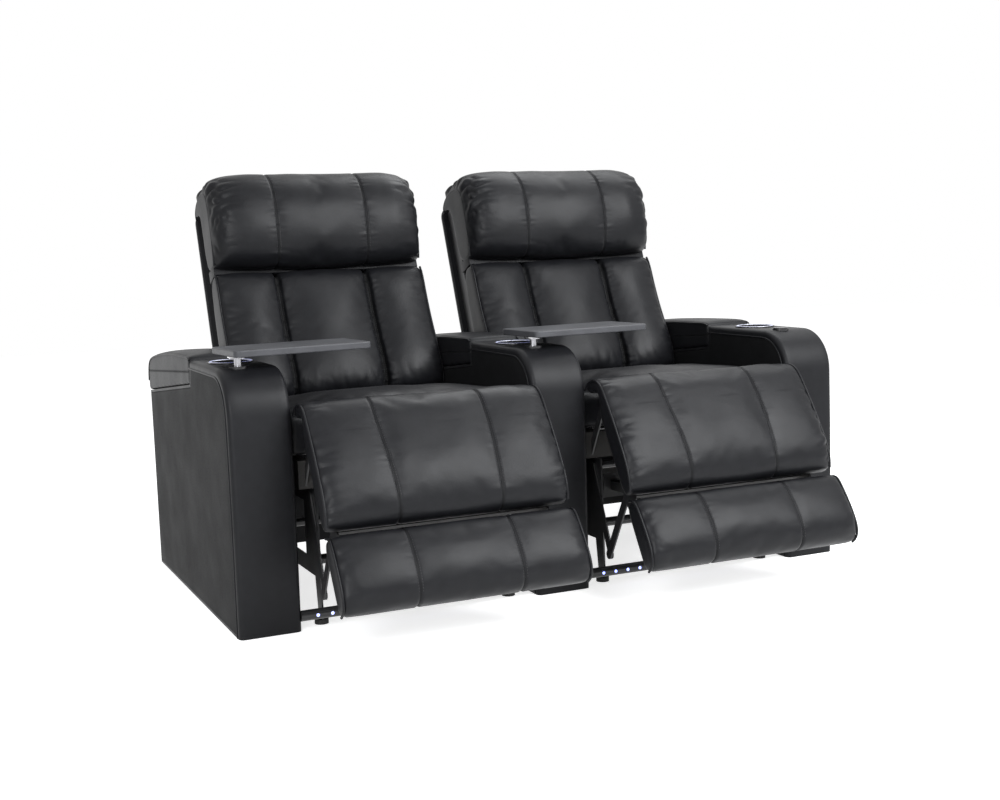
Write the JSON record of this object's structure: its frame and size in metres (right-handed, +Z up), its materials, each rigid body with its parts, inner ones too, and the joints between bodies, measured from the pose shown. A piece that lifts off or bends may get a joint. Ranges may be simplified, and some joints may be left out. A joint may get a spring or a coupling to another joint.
{
  "type": "cinema recliner seat",
  "caption": "Padded recliner row for a cinema: stuffed backs with head pillows, powered legrests, boxed arms with storage lids, cup holders and swivel trays.",
  "frame": {"origin": "on the floor, under the middle of the centre arm", "axes": "+X to the row's right as seen from the front, front faces -Y, +Z up"},
  "size_m": [1.69, 1.2834, 1.103],
  "materials": {
    "leather": "smooth, soft sheen",
    "black_steel": "satin black",
    "post_steel": "polished",
    "cup_black": "gloss black",
    "socket_black": "satin black",
    "tray_grey": "matt dark grey",
    "trim_black": "matt black",
    "glide_rubber": "matt",
    "lens_white": "clear white",
    "timber": "plain sanded plywood",
    "spring_wire": "bright drawn",
    "drive_black": "matt black"
  },
  "bodies": {
    "base": {"arm_left": "leather", "arm_centre": "leather", "arm_right": "leather", "lid_hinges": "black_steel", "cup_holders": "cup_black", "tray_sockets": "socket_black", "control_bezels": "trim_black", "glides": "glide_rubber", "rear_skirts": "leather", "led_bars": "trim_black", "led_lenses": "lens_white", "seat_frame_left": "timber", "seat_springs_left": "spring_wire", "seat_cushion_left": "leather", "hinge_ears_left": "black_steel", "mechanism_base_left": "black_steel", "drive_unit_left": "drive_black", "seat_frame_right": "timber", "seat_springs_right": "spring_wire", "seat_cushion_right": "leather", "hinge_ears_right": "black_steel", "mechanism_base_right": "black_steel", "drive_unit_right": "drive_black"},
    "back_left": {"back_frame_left": "black_steel", "back_panel_left": "leather", "back_cushion_left": "leather", "head_pillow_left": "leather"},
    "legrest_left": {"leg_brackets_left": "black_steel", "leg_boards_left": "timber", "upper_leg_pad_left": "leather", "lower_leg_pad_left": "leather"},
    "lift_left": {"lift_links_left": "black_steel"},
    "stay_left": {"stay_links_left": "black_steel"},
    "carriage_left": {"drive_carriage_left": "drive_black"},
    "rod_left": {"recline_rod_left": "spring_wire"},
    "back_right": {"back_frame_right": "black_steel", "back_panel_right": "leather", "back_cushion_right": "leather", "head_pillow_right": "leather"},
    "legrest_right": {"leg_brackets_right": "black_steel", "leg_boards_right": "timber", "upper_leg_pad_right": "leather", "lower_leg_pad_right": "leather"},
    "lift_right": {"lift_links_right": "black_steel"},
    "stay_right": {"stay_links_right": "black_steel"},
    "carriage_right": {"drive_carriage_right": "drive_black"},
    "rod_right": {"recline_rod_right": "spring_wire"},
    "tray_left": {"tray_left": "tray_grey", "tray_post_left": "post_steel"},
    "button_open_left": {"button_open_left": "trim_black"},
    "button_close_left": {"button_close_left": "trim_black"},
    "tray_right": {"tray_right": "tray_grey", "tray_post_right": "post_steel"},
    "button_open_right": {"button_open_right": "trim_black"},
    "button_close_right": {"button_close_right": "trim_black"},
    "lid_left": {"lid_left": "leather"},
    "lid_centre": {"lid_centre": "leather"},
    "lid_right": {"lid_right": "leather"}
  },
  "joints": [
    {"name": "recline_left", "type": "hinge", "parent": "base", "child": "back_left", "pos_m": [-0.385, 0.198, 0.405], "axis": [-1, 0, 0], "range_deg": [0, 32]},
    {"name": "legrest_left", "type": "hinge", "parent": "base", "child": "legrest_left", "pos_m": [-0.385, -0.495, 0.49], "axis": [-1, 0, 0], "range_deg": [-31, 54]},
    {"name": "lift_left", "type": "hinge", "parent": "base", "child": "lift_left", "pos_m": [-0.385, -0.386, 0.304], "axis": [-1, 0, 0], "range_deg": [-31, 54]},
    {"name": "stay_left", "type": "hinge", "parent": "legrest_left", "child": "stay_left", "pos_m": [-0.385, -0.58792, 0.26934], "axis": [-1, 0, 0], "range_deg": [-54, 31]},
    {"name": "carriage_left", "type": "slide", "parent": "base", "child": "carriage_left", "axis": [0, -1, 0], "range_m": [-0.047, 0.081]},
    {"name": "rod_left", "type": "slide", "parent": "base", "child": "rod_left", "axis": [0, -1, 0], "range_m": [0, 0.056]},
    {"name": "recline_right", "type": "hinge", "parent": "base", "child": "back_right", "pos_m": [0.385, 0.198, 0.405], "axis": [-1, 0, 0], "range_deg": [0, 32]},
    {"name": "legrest_right", "type": "hinge", "parent": "base", "child": "legrest_right", "pos_m": [0.385, -0.495, 0.49], "axis": [-1, 0, 0], "range_deg": [-31, 54]},
    {"name": "lift_right", "type": "hinge", "parent": "base", "child": "lift_right", "pos_m": [0.385, -0.386, 0.304], "axis": [-1, 0, 0], "range_deg": [-31, 54]},
    {"name": "stay_right", "type": "hinge", "parent": "legrest_right", "child": "stay_right", "pos_m": [0.385, -0.58792, 0.26934], "axis": [-1, 0, 0], "range_deg": [-54, 31]},
    {"name": "carriage_right", "type": "slide", "parent": "base", "child": "carriage_right", "axis": [0, -1, 0], "range_m": [-0.047, 0.081]},
    {"name": "rod_right", "type": "slide", "parent": "base", "child": "rod_right", "axis": [0, -1, 0], "range_m": [0, 0.056]},
    {"name": "tray_swivel_left", "type": "hinge", "parent": "base", "child": "tray_left", "pos_m": [-0.789, -0.366, 0.64], "axis": [0, 0, -1], "range_deg": [-80, 95]},
    {"name": "press_open_left", "type": "slide", "parent": "base", "child": "button_open_left", "axis": [-1, 0, 0], "range_m": [0, 0.0018], "stiffness_N_per_m": 600},
    {"name": "press_close_left", "type": "slide", "parent": "base", "child": "button_close_left", "axis": [-1, 0, 0], "range_m": [0, 0.0018], "stiffness_N_per_m": 600},
    {"name": "tray_swivel_right", "type": "hinge", "parent": "base", "child": "tray_right", "pos_m": [-0.019, -0.366, 0.64], "axis": [0, 0, -1], "range_deg": [-80, 95]},
    {"name": "press_open_right", "type": "slide", "parent": "base", "child": "button_open_right", "axis": [-1, 0, 0], "range_m": [0, 0.0018], "stiffness_N_per_m": 600},
    {"name": "press_close_right", "type": "slide", "parent": "base", "child": "button_close_right", "axis": [-1, 0, 0], "range_m": [0, 0.0018], "stiffness_N_per_m": 600},
    {"name": "lid_left_hinge", "type": "hinge", "parent": "base", "child": "lid_left", "pos_m": [-0.77, 0.482, 0.49], "axis": [-1, 0, 0], "range_deg": [0, 75]},
    {"name": "lid_centre_hinge", "type": "hinge", "parent": "base", "child": "lid_centre", "pos_m": [0, 0.482, 0.49], "axis": [-1, 0, 0], "range_deg": [0, 75]},
    {"name": "lid_right_hinge", "type": "hinge", "parent": "base", "child": "lid_right", "pos_m": [0.77, 0.482, 0.49], "axis": [-1, 0, 0], "range_deg": [0, 75]}
  ],
  "couplings": [
    {"joint": "lift_left", "follows": "legrest_left", "ratio": 1},
    {"joint": "stay_left", "follows": "legrest_left", "ratio": -1},
    {"joint": "carriage_left", "follows": "legrest_left", "m_per_rad": 0.085},
    {"joint": "rod_left", "follows": "recline_left", "m_per_rad": 0.0985},
    {"joint": "lift_right", "follows": "legrest_right", "ratio": 1},
    {"joint": "stay_right", "follows": "legrest_right", "ratio": -1},
    {"joint": "carriage_right", "follows": "legrest_right", "m_per_rad": 0.085},
    {"joint": "rod_right", "follows": "recline_right", "m_per_rad": 0.0985}
  ]
}
